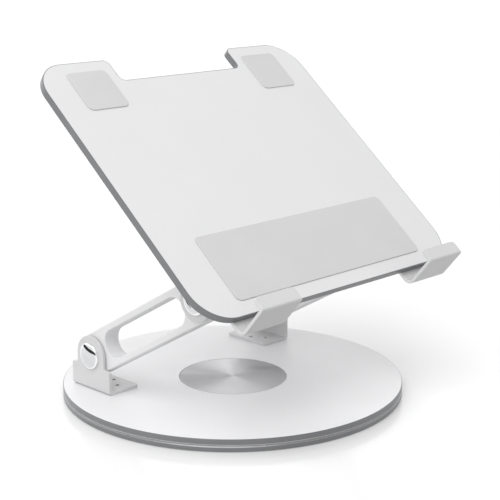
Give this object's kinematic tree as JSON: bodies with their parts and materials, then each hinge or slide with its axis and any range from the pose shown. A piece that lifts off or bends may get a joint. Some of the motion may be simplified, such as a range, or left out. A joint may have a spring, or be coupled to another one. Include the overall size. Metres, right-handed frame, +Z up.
{
  "type": "tablet stand",
  "caption": "Swivelling desktop tablet stand: round base and turntable, twin slotted lifting arms and a tilting tray with hooks and soft pads.",
  "frame": {"origin": "centre of the underside of the base, on the swivel axis", "axes": "+Z up, the user and the hooks are at -Y, +X is the user's right"},
  "size_m": [0.23, 0.2331, 0.2228],
  "materials": {
    "white_coated_aluminium": "satin",
    "white_coated_steel": "satin",
    "grey_silicone": "matte",
    "mat_silicone": "matte",
    "bearing_steel": "polished",
    "screw_steel": "satin",
    "chrome_plate": "polished",
    "spun_aluminium": "satin",
    "nylon": "satin",
    "bronze": "satin"
  },
  "bodies": {
    "base": {"base_mat": "mat_silicone", "base_disc": "white_coated_aluminium", "bearing_lower_race": "bearing_steel", "pivot_bolt": "screw_steel", "pivot_washer": "bearing_steel", "pivot_nut": "bearing_steel"},
    "ball_cage": {"bearing_balls": "chrome_plate", "bearing_cage": "nylon"},
    "turntable": {"turntable_disc": "white_coated_aluminium", "spun_insert": "spun_aluminium", "bearing_upper_race": "bearing_steel", "thrust_washer": "nylon", "centre_bush": "bronze", "lower_bracket_left": "white_coated_steel", "lower_bracket_right": "white_coated_steel", "lower_bracket_screws": "white_coated_steel", "lower_pivot_screws": "screw_steel", "lower_pivot_caps": "chrome_plate", "lower_friction_washers": "nylon", "lower_spring_washers": "bearing_steel", "lower_pivot_nuts": "bearing_steel"},
    "arms": {"arm_left": "white_coated_aluminium", "arm_right": "white_coated_aluminium", "arm_bushes": "bronze"},
    "tray": {"tray_plate": "white_coated_aluminium", "pad_large": "grey_silicone", "pad_small_left": "grey_silicone", "pad_small_right": "grey_silicone", "hook_left": "white_coated_aluminium", "hook_right": "white_coated_aluminium", "hook_liners": "grey_silicone", "hook_screws": "white_coated_steel", "upper_bracket_left": "white_coated_steel", "upper_bracket_right": "white_coated_steel", "upper_bracket_screws": "white_coated_steel", "upper_pivot_screws": "screw_steel", "upper_pivot_caps": "chrome_plate", "upper_friction_washers": "nylon", "upper_spring_washers": "bearing_steel", "upper_pivot_nuts": "bearing_steel"}
  },
  "joints": [
    {"name": "swivel", "type": "hinge", "parent": "base", "child": "turntable", "pos_m": [0, 0, 0.0043], "axis": [0, 0, 1], "continuous": true},
    {"name": "cage_orbit", "type": "hinge", "parent": "base", "child": "ball_cage", "pos_m": [0, 0, 0.0043], "axis": [0, 0, 1], "continuous": true},
    {"name": "arm_lift", "type": "hinge", "parent": "turntable", "child": "arms", "pos_m": [0, 0.0473, 0.0322], "axis": [-1, 0, 0], "range_deg": [-18, 50]},
    {"name": "tray_tilt", "type": "hinge", "parent": "arms", "child": "tray", "pos_m": [0, -0.05421, 0.09057], "axis": [1, 0, 0], "range_deg": [-55.5, 32.5]}
  ],
  "couplings": [
    {"joint": "cage_orbit", "follows": "swivel", "ratio": 0.5}
  ]
}
